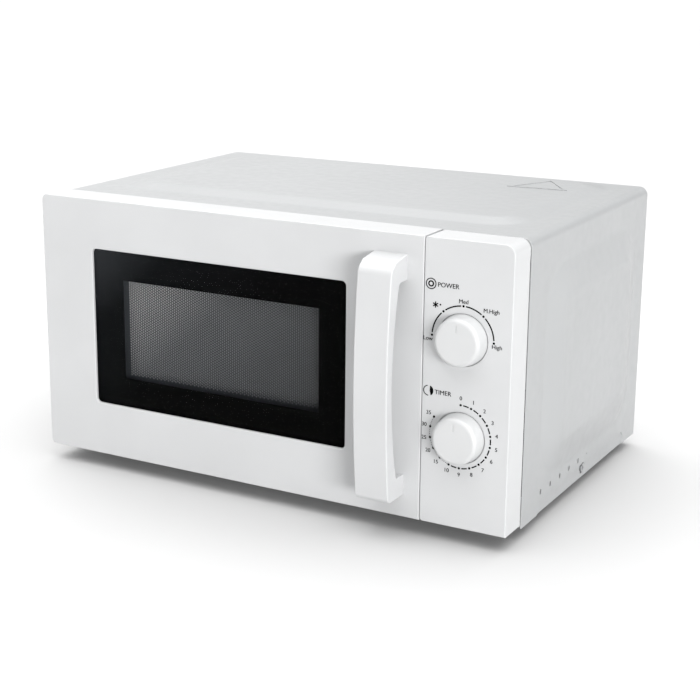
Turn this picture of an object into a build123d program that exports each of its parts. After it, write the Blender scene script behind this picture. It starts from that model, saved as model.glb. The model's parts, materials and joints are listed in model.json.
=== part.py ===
from build123d import *
import math
import os

os.makedirs("parts", exist_ok=True)

# A compact mechanical microwave oven. Millimetres; +Z up, the door faces -Y, +X is the control side.
# The origin is on the floor, under the middle of the whole oven, handle and rear screws included.

# ---------------------------------------------------------------- driving dimensions
WIDTH = 440.0  # flat side to flat side of the case
CASE_BOTTOM = 10.0  # lower edge of the case above the floor
CASE_TOP = 240.3  # flat part of the case's top
FRONT_BOTTOM = 13.7  # lower edge of the door and the control panel
FRONT_TOP = 240.7
MODULE_DEPTH = 32.2  # door front face to the steel front plate
BODY_DEPTH = 303.0  # door front face to the case's rear edge
HANDLE_REACH = 31.5  # how far the handle stands in front of the door at its middle
SHEET = 0.8  # steel sheet
WALL = 2.5  # moulded plastic wall
GAP = 0.8  # between the door and the steel behind it
SEAM_GAP = 0.5  # between the door and the control panel
RIM_GAP = 3.0  # between the control panel's rim and the steel, seen as a dark joint
FRONT_BEND = 0.8  # rounding of the front faces' edges
SEAM_X = 147.0  # right-hand edge of the door

HEAD_HEIGHT = 2.0  # pan-head screws
HEAD_RADIUS = 3.6
SHANK_RADIUS = 1.7
SCREW_HOLE = 1.8

HALF = WIDTH / 2
FRONT_Y = -(BODY_DEPTH + HEAD_HEIGHT - HANDLE_REACH) / 2
REAR_Y = FRONT_Y + BODY_DEPTH
HIGH_SIDE = (Align.CENTER, Align.CENTER, Align.MAX)
LOW_SIDE = (Align.CENTER, Align.CENTER, Align.MIN)


def behind(depth):
    """The y of a plane this far behind the door's front face."""
    return FRONT_Y + depth


def at_x(x):
    """A sketch plane across X: its axes are Y and Z, and it extrudes towards +X."""
    return Plane.YZ.offset(x)


def at_y(y):
    """A sketch plane across Y: its axes are X and Z, and it extrudes towards the front, -Y."""
    return Plane.XZ.offset(-y)


def at_z(z):
    return Plane.XY.offset(z)


def block(low, high, mode=Mode.ADD):
    """A box between two corners, in the part that is being built."""
    size = [b - a for a, b in zip(low, high)]
    middle = [(a + b) / 2 for a, b in zip(low, high)]
    with Locations(tuple(middle)):
        Box(*size, mode=mode)


def rod(low, length, radius, axis, mode=Mode.ADD):
    """A cylinder that starts at low and runs along axis, in the part that is being built."""
    with Locations(Plane(origin=low, z_dir=axis)):
        Cylinder(radius, length, align=LOW_SIDE, mode=mode)


def screw(place, out, length):
    """A cross-head screw whose head sits on place and points along out."""
    with Locations(Plane(origin=place, z_dir=out)):
        Cylinder(HEAD_RADIUS, HEAD_HEIGHT, align=LOW_SIDE)
        Cylinder(SHANK_RADIUS, length, align=HIGH_SIDE)
    for turn in (0, 90):
        slot = Plane(origin=place, z_dir=out).offset(HEAD_HEIGHT)
        with Locations(slot * Location((0, 0, 0), (0, 0, turn))):
            Box(4.2, 0.9, 2.2, mode=Mode.SUBTRACT)


def keep(builder, label):
    builder.part.label = label
    export_step(builder.part, f"parts/{label}.step")


# ---------------------------------------------------------------- places shared by several pieces
PLATE_Y = behind(MODULE_DEPTH)  # front face of the front plate, and front edge of the case
CAVITY_X = (-192.0, 108.0)  # inside of the oven cavity
CAVITY_Z = (32.0, 224.0)
CAVITY_Y = (PLATE_Y + SHEET, behind(295.0))
REAR_PANEL_Y = REAR_Y - 2 * SHEET  # front face of the rear panel
FLOOR_TOP = 11.4  # upper face of the base plate
DIAL_X = 180.2
POWER_Z = FRONT_BOTTOM + 150.9
TIMER_Z = FRONT_BOTTOM + 73.7
TRAY_X = (CAVITY_X[0] + CAVITY_X[1]) / 2
TRAY_Y = (CAVITY_Y[0] + CAVITY_Y[1]) / 2
HINGE_X = -HALF + 12.0
DOOR_REAR = MODULE_DEPTH - GAP  # depth of the door's rear face
HINGE_DEPTH = DOOR_REAR - 12.0
HINGE_Y = behind(HINGE_DEPTH)
HOOK_X = 134.0
HOOK_Z = (70.0, 188.0)
HOOK_LIFT = 4.0

# ---------------------------------------------------------------- outer case
CASE_CORNER = 7.5
CASE_FRONT_BEND = 0.6  # rounding of the case's front edge
TOP_PAD = dict(y=behind(181.0), size=(388.0, 232.0), corner=35.0, slope=18.0, height=3.6)
SIDE_PAD = dict(centre=(behind(172.0), FRONT_BOTTOM + 110.5), size=(210.0, 177.0), corner=38.0)
TOP_BEND, SIDE_BEND = 20.0, 22.0  # rounding of the pads' pressed edges
SIDE_SLOPE = 29.0
SIDE_HEIGHT = 6.5
SKIRT = dict(y=(behind(65.0), behind(272.0)), top=FRONT_BOTTOM + 8.7, corner=8.0, depth=1.1)
SKIRT_SLOPE = 1.2
FLANGE = 12.0  # rear edge folded inwards
REAR_SCREWS = [(x, CASE_TOP - 6.5) for x in (-150, 0, 150)]
REAR_SCREWS += [(side * (HALF - 6.5), z) for side in (-1, 1) for z in (62, 178)]
SKIRT_HOLE = (behind(167.7), FRONT_BOTTOM + 4.8)
TRIANGLE_TURN = 94.3


def case_form(inset):
    """The case as a solid, this far inside its painted face. Two of them make the sheet."""
    rear = REAR_Y - inset
    with BuildPart() as form:
        with BuildSketch(at_y(rear)) as outline:
            low = CASE_BOTTOM - 20 * inset
            height = CASE_TOP - inset - low
            with Locations((0, low + height / 2)):
                Rectangle(WIDTH - 2 * inset, height)
            fillet(outline.vertices().group_by(Axis.Y)[-1], CASE_CORNER - inset)
        extrude(amount=rear - PLATE_Y + 10 * inset)
        if not inset:
            edges = form.edges().filter_by_position(Axis.Y, PLATE_Y - 0.01, PLATE_Y + 0.01)
            fillet(edges.sort_by(Axis.Z)[1:], CASE_FRONT_BEND)
        top = CASE_TOP - inset
        for rise, shrink in ((0, 0), (TOP_PAD["height"], TOP_PAD["slope"])):
            with BuildSketch(at_z(top + rise)):
                with Locations((0, TOP_PAD["y"])):
                    w, d = TOP_PAD["size"]
                    RectangleRounded(w - 2 * shrink, d - 2 * shrink, TOP_PAD["corner"] - shrink)
        loft(ruled=True)
        for side in (-1, 1):
            for rise, shrink in ((0, 0), (SIDE_HEIGHT, SIDE_SLOPE)):
                with BuildSketch(at_x(side * (HALF - inset + rise))):
                    with Locations(SIDE_PAD["centre"]):
                        w, h = SIDE_PAD["size"]
                        RectangleRounded(w - 2 * shrink, h - 2 * shrink, SIDE_PAD["corner"] - shrink)
            loft(ruled=True)
            for dip, shrink in ((0, 0), (SKIRT["depth"], SKIRT_SLOPE)):
                with BuildSketch(at_x(side * (HALF - inset - dip))):
                    length = SKIRT["y"][1] - SKIRT["y"][0] + 2 * (inset - shrink)
                    with Locations((sum(SKIRT["y"]) / 2, SKIRT["top"] - 25)):
                        RectangleRounded(length, 50 + 2 * (inset - shrink), SKIRT["corner"] + inset - shrink)
            loft(ruled=True, mode=Mode.SUBTRACT)
        soften(form, top)
    return form.part


def soften(form, top):
    """Rounds the pressed edges of the pads."""
    half_w, half_d = TOP_PAD["size"][0] / 2 + 1, TOP_PAD["size"][1] / 2 + 1
    for level in (top, top + TOP_PAD["height"]):
        edges = form.edges().filter_by_position(Axis.Z, level - 0.01, level + 0.01)
        edges = edges.filter_by(
            lambda e: abs(e.center().X) < half_w and abs(e.center().Y - TOP_PAD["y"]) < half_d
        )
        fillet(edges, TOP_BEND)
    half_l, half_h = SIDE_PAD["size"][0] / 2 + 1, SIDE_PAD["size"][1] / 2 + 1
    wall = HALF - (CASE_TOP - top)
    for side in (-1, 1):
        for rise in (0, SIDE_HEIGHT):
            level = side * (wall + rise)
            edges = form.edges().filter_by_position(Axis.X, level - 0.01, level + 0.01)
            edges = edges.filter_by(
                lambda e: abs(e.center().Y - SIDE_PAD["centre"][0]) < half_l
                and abs(e.center().Z - SIDE_PAD["centre"][1]) < half_h
            )
            fillet(edges, SIDE_BEND)


with BuildPart() as outer_case:
    add(case_form(0))
    add(case_form(SHEET), mode=Mode.SUBTRACT)
    block((-HALF + FLANGE, REAR_Y - 2, 0), (HALF - FLANGE, REAR_Y + 1, CASE_TOP - FLANGE), Mode.SUBTRACT)
    with BuildSketch(at_y(REAR_Y + 1)):
        with Locations(*REAR_SCREWS):
            Circle(SCREW_HOLE)
    extrude(amount=3, mode=Mode.SUBTRACT)
    # drain and vent slots along the right-hand side, with the opening for the chassis screw
    with BuildSketch(at_x(HALF - 5)):
        for place in range(5):
            with Locations((behind(71.0 + 21.2 * place), FRONT_BOTTOM + 14.6)):
                SlotOverall(4.8, 3.2, rotation=90)
        with Locations((behind(176.5), FRONT_BOTTOM + 14.8)):
            Circle(0.6)
        with Locations(SKIRT_HOLE):
            Circle(5.0)
    extrude(amount=8, mode=Mode.SUBTRACT)
    # plain raised triangle on the top
    with BuildSketch(at_z(CASE_TOP + TOP_PAD["height"])):
        with Locations((144.7, behind(240.5))):
            RegularPolygon(31.3, 3, rotation=TRIANGLE_TURN)
            RegularPolygon(26.3, 3, rotation=TRIANGLE_TURN, mode=Mode.SUBTRACT)
    extrude(amount=0.6)
keep(outer_case, "outer_case")

# ---------------------------------------------------------------- chassis
EDGE = HALF - SHEET - 0.1  # half-width of the plates that fit inside the case
PLATE_TOP = CASE_TOP - SHEET - 0.1
FOOT_X, FOOT_Y = 178.0, (-78.0, 132.0)
ARM_Z = 228.3  # lower face of the upper hinge arm
ARM_THICK = 2.0
ARM_HALF = 7.0
MIDDLE_Z = (FRONT_BOTTOM + FRONT_TOP) / 2
BAY_X = (CAVITY_X[1] + SHEET, EDGE)  # machine bay, right of the cavity
FAN_X, FAN_Z, FAN_Y = 164.0, 150.0, 125.0
GLAND_X, GLAND_Z = 192.0, 42.0


def mirrored(low, high):
    """The same height band, mirrored about the middle of the door."""
    return 2 * MIDDLE_Z - high, 2 * MIDDLE_Z - low


ARM_BANDS = {"upper": (ARM_Z, ARM_Z + ARM_THICK), "lower": mirrored(ARM_Z, ARM_Z + ARM_THICK)}

with BuildPart() as base_plate:
    block((-HALF + 2, PLATE_Y + SHEET + 0.2, FLOOR_TOP - SHEET), (HALF - 2, REAR_PANEL_Y, FLOOR_TOP))
    # the folded-up tab that the chassis screw goes into
    tab_x = HALF - 2 - SHEET
    block((tab_x, SKIRT_HOLE[0] - 9, FLOOR_TOP), (HALF - 2, SKIRT_HOLE[0] + 9, SKIRT_HOLE[1] + 8))
    rod((tab_x - 1, SKIRT_HOLE[0], SKIRT_HOLE[1]), 3, SCREW_HOLE, (1, 0, 0), Mode.SUBTRACT)
    with BuildSketch(at_z(FLOOR_TOP)):
        for side in (-1, 1):
            for y in FOOT_Y:
                with Locations((side * FOOT_X, y)):
                    Circle(3.0)
        with Locations((160, 75)):
            with GridLocations(11, 22, 7, 3):
                SlotOverall(16, 5, rotation=90)
    extrude(amount=-2, mode=Mode.SUBTRACT)
keep(base_plate, "base_plate")

with BuildPart() as feet:
    places = [(side * FOOT_X, y) for side in (-1, 1) for y in FOOT_Y]
    for x, y in places:
        with BuildSketch(at_z(0)):
            with Locations((x, y)):
                Circle(8.5)
        with BuildSketch(at_z(FLOOR_TOP - SHEET)):
            with Locations((x, y)):
                Circle(10.5)
        loft()
        rod((x, y, 9), 5, 2.9, (0, 0, 1))
    fillet(feet.edges().group_by(Axis.Z)[0], 1.2)
    for x, y in places:
        rod((x, y, -1), 4, 2.2, (0, 0, 1), Mode.SUBTRACT)
keep(feet, "feet")

with BuildPart() as front_plate:
    with BuildSketch(at_y(PLATE_Y)) as face:
        low = FLOOR_TOP + 0.1
        with Locations((0, (low + PLATE_TOP) / 2)):
            Rectangle(2 * EDGE, PLATE_TOP - low)
        fillet(face.vertices().group_by(Axis.Y)[-1], CASE_CORNER - SHEET + 0.2)
        with Locations((TRAY_X, sum(CAVITY_Z) / 2)):
            w, h = CAVITY_X[1] - CAVITY_X[0], CAVITY_Z[1] - CAVITY_Z[0]
            RectangleRounded(w, h, 4, mode=Mode.SUBTRACT)
        with Locations((181, 127)):
            RectangleRounded(58, 190, 3, mode=Mode.SUBTRACT)
        for z in HOOK_Z:
            with Locations((HOOK_X + 0.8, z)):
                Rectangle(7.6, 18.5, mode=Mode.SUBTRACT)
        for low, high in ARM_BANDS.values():
            with Locations((HINGE_X, (low + high) / 2)):
                Rectangle(2 * ARM_HALF + 0.4, high - low + 0.4, mode=Mode.SUBTRACT)
    extrude(amount=-SHEET)
    # the right-hand edge is set back beside the control panel's joint
    block((EDGE - 3.6, PLATE_Y - 1, FRONT_BOTTOM + 8), (HALF, PLATE_Y + 2, FRONT_TOP - 14), Mode.SUBTRACT)
keep(front_plate, "front_plate")

with BuildPart() as rear_panel:
    with BuildSketch(at_y(REAR_PANEL_Y)) as face:
        low = FLOOR_TOP - SHEET
        with Locations((0, (low + PLATE_TOP) / 2)):
            Rectangle(2 * EDGE - 2, PLATE_TOP - low)
        fillet(face.vertices().group_by(Axis.Y)[-1], CASE_CORNER)
        with Locations(*REAR_SCREWS):
            Circle(SCREW_HOLE, mode=Mode.SUBTRACT)
        with Locations((GLAND_X, GLAND_Z)):
            Circle(7.0, mode=Mode.SUBTRACT)
        # air in for the fan, and the cavity's steam outlet
        with Locations((FAN_X, FAN_Z)):
            with GridLocations(9, 18, 9, 5):
                SlotOverall(13, 5, rotation=90, mode=Mode.SUBTRACT)
        with Locations((-130, 190)):
            with GridLocations(9, 18, 9, 3):
                SlotOverall(13, 5, rotation=90, mode=Mode.SUBTRACT)
    extrude(amount=-SHEET)
keep(rear_panel, "rear_panel")

with BuildPart() as case_screws:
    for x, z in REAR_SCREWS:
        screw((x, REAR_Y, z), (0, 1, 0), 7)
    screw((HALF - 2, SKIRT_HOLE[0], SKIRT_HOLE[1]), (1, 0, 0), 8)
keep(case_screws, "case_screws")

with BuildPart() as cord_gland:
    rod((GLAND_X, REAR_PANEL_Y - 5, GLAND_Z), 5 + SHEET, 6.9, (0, 1, 0))
    rod((GLAND_X, REAR_PANEL_Y + SHEET, GLAND_Z), 2.3, 9.5, (0, 1, 0))
    chamfer(cord_gland.edges().group_by(Axis.Y)[-1], 0.8)
    rod((GLAND_X, REAR_PANEL_Y - 6, GLAND_Z), 12, 3.6, (0, 1, 0), Mode.SUBTRACT)
keep(cord_gland, "cord_gland")

# ---------------------------------------------------------------- cavity, five welded sheets
with BuildPart() as cavity_floor:
    block((CAVITY_X[0], CAVITY_Y[0], CAVITY_Z[0] - SHEET), (CAVITY_X[1], CAVITY_Y[1], CAVITY_Z[0]))
    rod((TRAY_X, TRAY_Y, CAVITY_Z[0] - 3), 6, 5.0, (0, 0, 1), Mode.SUBTRACT)
keep(cavity_floor, "cavity_floor")

with BuildPart() as cavity_ceiling:
    block((CAVITY_X[0], CAVITY_Y[0], CAVITY_Z[1]), (CAVITY_X[1], CAVITY_Y[1], CAVITY_Z[1] + SHEET))
keep(cavity_ceiling, "cavity_ceiling")

with BuildPart() as cavity_left_wall:
    low, high = CAVITY_Z[0] - SHEET, CAVITY_Z[1] + SHEET
    block((CAVITY_X[0] - SHEET, CAVITY_Y[0], low), (CAVITY_X[0], CAVITY_Y[1], high))
    with BuildSketch(at_x(CAVITY_X[0] + 1)):
        with Locations((120, 190)):
            with GridLocations(5, 5, 9, 5):
                Circle(1.4)
    extrude(amount=-4, mode=Mode.SUBTRACT)
keep(cavity_left_wall, "cavity_left_wall")

WAVE_Y, WAVE_Z = (-26.0, 62.0), (118.0, 200.0)
LAMP_Y, LAMP_Z = -49.0, 198.0
with BuildPart() as cavity_right_wall:
    block((CAVITY_X[1], CAVITY_Y[0], low), (CAVITY_X[1] + SHEET, CAVITY_Y[1], high))
    block((CAVITY_X[1] - 1, 26, 128), (CAVITY_X[1] + 2, 56, 190), Mode.SUBTRACT)
    with BuildSketch(at_x(CAVITY_X[1] - 1)):
        with Locations((LAMP_Y, LAMP_Z)):
            with GridLocations(4, 4, 5, 5):
                Circle(1.3)
    extrude(amount=4, mode=Mode.SUBTRACT)
keep(cavity_right_wall, "cavity_right_wall")

with BuildPart() as cavity_rear_wall:
    block(
        (CAVITY_X[0] - SHEET, CAVITY_Y[1], low),
        (CAVITY_X[1] + SHEET, CAVITY_Y[1] + SHEET, high),
    )
keep(cavity_rear_wall, "cavity_rear_wall")

with BuildPart() as mica_cover:
    block((CAVITY_X[1] - 0.5, 20, 122), (CAVITY_X[1], 62, 196))
    fillet(mica_cover.edges().filter_by(Axis.X), 4)
keep(mica_cover, "mica_cover")

# ---------------------------------------------------------------- door
WINDOW_X = (-167.4, 80.3)
WINDOW_Z = (FRONT_BOTTOM + 46.7, FRONT_BOTTOM + 184.2)
VIEW_X = (-138.1, 54.2)  # clear part of the window, in front of the screen
VIEW_Z = (FRONT_BOTTOM + 71.8, FRONT_BOTTOM + 158.5)
HANDLE_X = (104.2, 133.2)
HANDLE_Z = (FRONT_BOTTOM + 18.5, FRONT_BOTTOM + 211.6)
LEGS = ((HANDLE_Z[0], HANDLE_Z[0] + 16.9), (HANDLE_Z[1] - 20.4, HANDLE_Z[1]))
HANDLE_SCREWS = [((HANDLE_X[0] + HANDLE_X[1]) / 2, sum(leg) / 2) for leg in LEGS]
HINGE_SEAT = 12.0  # distance from the hinge axis to the door's side and rear faces


def door_form(inset, rear):
    """The door as a solid, this far inside its outer faces; its rear left edge is round about the hinge."""
    with BuildPart() as form:
        with BuildSketch(at_z(FRONT_BOTTOM + inset)):
            x0, x1 = -HALF + inset, SEAM_X - inset
            with Locations(((HINGE_X + x1) / 2, (FRONT_Y + inset + rear) / 2)):
                Rectangle(x1 - HINGE_X, rear - FRONT_Y - inset)
            with Locations(((HINGE_X + x0) / 2, (FRONT_Y + inset + HINGE_Y) / 2)):
                Rectangle(HINGE_X - x0, HINGE_Y - FRONT_Y - inset)
            with Locations((HINGE_X, HINGE_Y)):
                Circle(HINGE_SEAT - inset)
        extrude(amount=FRONT_TOP - FRONT_BOTTOM - 2 * inset)
        with BuildSketch(at_y(FRONT_Y - 5)) as front:
            with Locations(((SEAM_X - HALF) / 2, MIDDLE_Z)):
                w, h = SEAM_X + HALF - 2 * inset, FRONT_TOP - FRONT_BOTTOM - 2 * inset
                Rectangle(w, h)
            columns = front.vertices().group_by(Axis.X)
            fillet(columns[0], 5 - inset)
            fillet(columns[-1], 2.8 - inset)
        extrude(amount=-50, mode=Mode.INTERSECT)
        if not inset:
            fillet(form.edges().filter_by_position(Axis.Y, FRONT_Y - 0.01, FRONT_Y + 0.01), FRONT_BEND)
    return form.part


with BuildPart() as door_frame:
    add(door_form(0, behind(DOOR_REAR)))
    add(door_form(WALL, behind(DOOR_REAR + 2)), mode=Mode.SUBTRACT)
    with BuildSketch(at_y(FRONT_Y - 1)):
        with Locations((sum(WINDOW_X) / 2, sum(WINDOW_Z) / 2)):
            RectangleRounded(WINDOW_X[1] - WINDOW_X[0], WINDOW_Z[1] - WINDOW_Z[0], 4)
        with Locations(*HANDLE_SCREWS):
            Circle(SCREW_HOLE)
    extrude(amount=-(WALL + 2), mode=Mode.SUBTRACT)
    lip = door_frame.edges().filter_by_position(Axis.Y, FRONT_Y - 0.01, FRONT_Y + 0.01)
    lip = lip.filter_by(
        lambda e: WINDOW_X[0] - 1 < e.center().X < WINDOW_X[1] + 1
        and WINDOW_Z[0] - 1 < e.center().Z < WINDOW_Z[1] + 1
    )
    fillet(lip, 0.9)
    # the hinge arms swing through these notches
    for low, high in ARM_BANDS.values():
        block(
            (-HALF - 1, HINGE_Y - 8, low - 0.8),
            (HINGE_X + 8, behind(DOOR_REAR + 1), high + 0.8),
            Mode.SUBTRACT,
        )
    # locating ribs round the window, which also hold it
    for grow, mode in ((7.6, Mode.ADD), (6.2, Mode.SUBTRACT)):
        low = (WINDOW_X[0] - grow, behind(WALL), WINDOW_Z[0] - grow)
        high = (WINDOW_X[1] + grow, behind(WALL + 4), WINDOW_Z[1] + grow)
        block(low, high, mode)
keep(door_frame, "door_frame")

with BuildPart() as door_window:
    for grow, front, rear in ((6.0, WALL, 4.0), (-0.3, 1.0, WALL)):
        with BuildSketch(at_y(behind(front))):
            with Locations((sum(WINDOW_X) / 2, sum(WINDOW_Z) / 2)):
                w, h = WINDOW_X[1] - WINDOW_X[0] + 2 * grow, WINDOW_Z[1] - WINDOW_Z[0] + 2 * grow
                RectangleRounded(w, h, 4.7)
        extrude(amount=front - rear)
keep(door_window, "door_window")

with BuildPart() as window_mask:
    with BuildSketch(at_y(behind(4.0))):
        with Locations((sum(WINDOW_X) / 2, sum(WINDOW_Z) / 2)):
            Rectangle(WINDOW_X[1] - WINDOW_X[0] + 8, WINDOW_Z[1] - WINDOW_Z[0] + 8)
        with Locations((sum(VIEW_X) / 2, sum(VIEW_Z) / 2)):
            Rectangle(VIEW_X[1] - VIEW_X[0], VIEW_Z[1] - VIEW_Z[0], mode=Mode.SUBTRACT)
    extrude(amount=-0.4)
keep(window_mask, "window_mask")

SCREEN_DEPTH = 13.0
with BuildPart() as door_screen:
    block(
        (VIEW_X[0] - 14, behind(SCREEN_DEPTH), VIEW_Z[0] - 14),
        (VIEW_X[1] + 14, behind(SCREEN_DEPTH + 0.6), VIEW_Z[1] + 14),
    )
keep(door_screen, "door_screen")

PANEL_DEPTH = SCREEN_DEPTH + 0.6
CHOKE_X, CHOKE_Z = (VIEW_X[0] - 8, VIEW_X[1] + 8), (VIEW_Z[0] - 8, VIEW_Z[1] + 8)
BUSH_Z = {"upper": (ARM_Z - 5.5, ARM_Z - 0.4), "lower": mirrored(ARM_Z - 5.5, ARM_Z - 0.4)}
with BuildPart() as door_inner_panel:
    block((-214, behind(PANEL_DEPTH), 18), (143.5, behind(PANEL_DEPTH + 1), 236.4))
    block(
        (CHOKE_X[0] - 1, behind(PANEL_DEPTH), CHOKE_Z[0] - 1),
        (CHOKE_X[1] + 1, behind(28), CHOKE_Z[1] + 1),
    )
    block(
        (CHOKE_X[0], behind(PANEL_DEPTH - 1), CHOKE_Z[0]),
        (CHOKE_X[1], behind(29), CHOKE_Z[1]),
        Mode.SUBTRACT,
    )
    for low, high in BUSH_Z.values():
        middle = (low + high) / 2
        block(
            (-215, behind(PANEL_DEPTH - 1), low - 5),
            (HINGE_X + 9, behind(PANEL_DEPTH + 2), high + 5),
            Mode.SUBTRACT,
        )
        block((HINGE_X, behind(PANEL_DEPTH), middle - 1), (HINGE_X + 22, HINGE_Y + 7, middle + 1))
        rod((HINGE_X, HINGE_Y, middle - 1), 2, 8.5, (0, 0, 1))
        rod((HINGE_X, HINGE_Y, middle - 2), 4, 5.05, (0, 0, 1), Mode.SUBTRACT)
    # stop for the latch spring
    block((128, behind(PANEL_DEPTH), 221), (138.5, behind(27), 222.5))
keep(door_inner_panel, "door_inner_panel")

with BuildPart() as hinge_bushes:
    for name, (low, high) in BUSH_Z.items():
        middle = (low + high) / 2
        rod((HINGE_X, HINGE_Y, low), high - low, 5.0, (0, 0, 1))
        collar = middle + 1 if name == "upper" else low
        rod((HINGE_X, HINGE_Y, collar), high - middle - 1, 6.5, (0, 0, 1))
        rod((HINGE_X, HINGE_Y, low - 1), high - low + 2, 3.05, (0, 0, 1), Mode.SUBTRACT)
keep(hinge_bushes, "hinge_bushes")

for name, (low, high) in ARM_BANDS.items():
    with BuildPart() as hinge:
        block((HINGE_X - ARM_HALF, HINGE_Y, low), (HINGE_X + ARM_HALF, PLATE_Y + SHEET + 1, high))
        rod((HINGE_X, HINGE_Y, low), ARM_THICK, ARM_HALF, (0, 0, 1))
        # the weld flange lies behind the front plate
        flange = (low - 16, high) if name == "upper" else (low, high + 16)
        block(
            (HINGE_X - 10, PLATE_Y + SHEET, flange[0]),
            (HINGE_X + 12, PLATE_Y + SHEET + 2, flange[1]),
        )
        pin = low - 7 if name == "upper" else high
        rod((HINGE_X, HINGE_Y, pin), 7, 3.0, (0, 0, 1))
    keep(hinge, f"{name}_hinge")

with BuildPart() as choke_cover:
    x0, x1, z0, z1 = HINGE_X + 0.3, SEAM_X - WALL - 0.3, FRONT_BOTTOM + WALL + 0.3, FRONT_TOP - WALL - 0.3
    block((x0, behind(DOOR_REAR - 2), z0), (x1, behind(DOOR_REAR), z1))
    fillet(choke_cover.edges().filter_by(Axis.Y).group_by(Axis.X)[-1], 3)
    # skirt that clips inside the frame
    for grow, mode in ((0, Mode.ADD), (2, Mode.SUBTRACT)):
        low = (x0 + 24 + grow, behind(DOOR_REAR - 8 - grow), z0 + 3 + grow)
        high = (x1 - 3 - grow, behind(DOOR_REAR - 2), z1 - 3 - grow)
        block(low, high, mode)
    block(
        (CHOKE_X[0], behind(DOOR_REAR - 9), CHOKE_Z[0]),
        (CHOKE_X[1], behind(DOOR_REAR + 1), CHOKE_Z[1]),
        Mode.SUBTRACT,
    )
    for z in HOOK_Z:
        block(
            (HOOK_X - 2.5, behind(DOOR_REAR - 9), z - 5),
            (HOOK_X + 2.5, behind(DOOR_REAR + 1), z + 5 + HOOK_LIFT),
            Mode.SUBTRACT,
        )
    for low, high in ARM_BANDS.values():
        block(
            (HINGE_X - 1, behind(DOOR_REAR - 9), low - 0.8),
            (HINGE_X + 8, behind(DOOR_REAR + 1), high + 0.8),
            Mode.SUBTRACT,
        )
keep(choke_cover, "choke_cover")

with BuildPart() as inner_film:
    block(
        (CHOKE_X[0] + 0.2, behind(DOOR_REAR - 1.4), CHOKE_Z[0] + 0.2),
        (CHOKE_X[1] - 0.2, behind(DOOR_REAR - 0.9), CHOKE_Z[1] - 0.2),
    )
keep(inner_film, "inner_film")

with BuildPart() as door_handle:
    with BuildSketch(at_x(HANDLE_X[0])) as side_view:
        z0, z1 = HANDLE_Z
        ends, inner_ends, bar, droop = 26.0, 12.5, 9.0, 9.0
        cap_reach, cap_droop = 18.5, 3.0  # front edge of the top face
        with BuildLine():
            middle = (z0 + z1) / 2
            Polyline((FRONT_Y - ends, z0), (FRONT_Y, z0), (FRONT_Y, LEGS[0][1]))
            Line((FRONT_Y, LEGS[0][1]), (FRONT_Y - inner_ends, LEGS[0][1]))
            ThreePointArc(
                (FRONT_Y - inner_ends, LEGS[0][1]),
                (FRONT_Y - HANDLE_REACH + bar, middle),
                (FRONT_Y - inner_ends, LEGS[1][0]),
            )
            Polyline((FRONT_Y - inner_ends, LEGS[1][0]), (FRONT_Y, LEGS[1][0]), (FRONT_Y, z1))
            Polyline(
                (FRONT_Y, z1), (FRONT_Y - cap_reach, z1 - cap_droop), (FRONT_Y - ends, z1 - droop)
            )
            ThreePointArc(
                (FRONT_Y - ends, z1 - droop), (FRONT_Y - HANDLE_REACH, middle), (FRONT_Y - ends, z0)
            )
        make_face()
        inner = side_view.vertices().filter_by(lambda v: abs(v.Y - LEGS[0][1]) < 0.1 and v.X < FRONT_Y - 1)
        inner += side_view.vertices().filter_by(
            lambda v: abs(v.Y - LEGS[1][0]) < 0.1 and v.X < FRONT_Y - 1
        )
        fillet(inner, 4)
        outer = side_view.vertices().filter_by(lambda v: v.X < FRONT_Y - 20).sort_by(Axis.Y)
        fillet(outer[:1], 5)
        outer = side_view.vertices().filter_by(lambda v: v.X < FRONT_Y - 20).sort_by(Axis.Y)
        fillet(outer[-1:], 10)
        outer = side_view.vertices().filter_by(lambda v: v.X < FRONT_Y - 15).sort_by(Axis.Y)
        fillet(outer[-1:], 2)
    extrude(amount=HANDLE_X[1] - HANDLE_X[0])
    sides = door_handle.faces().filter_by(Axis.X).edges()
    fillet(sides.filter_by(lambda e: e.center().Y < FRONT_Y - 0.5), 1.0)
    for x, z in HANDLE_SCREWS:
        rod((x, FRONT_Y + 1, z), 11, 1.75, (0, -1, 0), Mode.SUBTRACT)
keep(door_handle, "door_handle")

with BuildPart() as handle_screws:
    for x, z in HANDLE_SCREWS:
        screw((x, behind(WALL), z), (0, 1, 0), 11)
keep(handle_screws, "handle_screws")

HOOK_HALF = 4.0
with BuildPart() as door_latch:
    block((HOOK_X - 3, behind(17), HOOK_Z[0] - 8), (HOOK_X + 3, behind(22), HOOK_Z[1] + 8))
    rod((HOOK_X, behind(19.5), HOOK_Z[1] + 8), 12, 1.2, (0, 0, 1))
    for z in HOOK_Z:
        root, tip = behind(22), behind(DOOR_REAR + 22)
        block((HOOK_X - 1.5, root, z - HOOK_HALF), (HOOK_X + 1.5, tip, z + HOOK_HALF))
        with BuildSketch(at_x(HOOK_X - 1.5)):
            with BuildLine():
                Polyline(
                    (tip - 7, z - HOOK_HALF),
                    (tip - 7, z - 2 * HOOK_HALF),
                    (tip - 4, z - 2 * HOOK_HALF),
                    (tip, z - HOOK_HALF),
                    close=True,
                )
            make_face()
        extrude(amount=3)
keep(door_latch, "door_latch")

with BuildPart() as latch_spring:
    start = HOOK_Z[1] + 8.6
    with BuildLine():
        Helix(2.2, 220.4 - start, 2.2, center=(HOOK_X, behind(19.5), start))
    with BuildSketch(Plane(origin=(HOOK_X + 2.2, behind(19.5), start), z_dir=(0, 1, 0.1))):
        Circle(0.35)
    sweep(is_frenet=True)
keep(latch_spring, "latch_spring")

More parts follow.
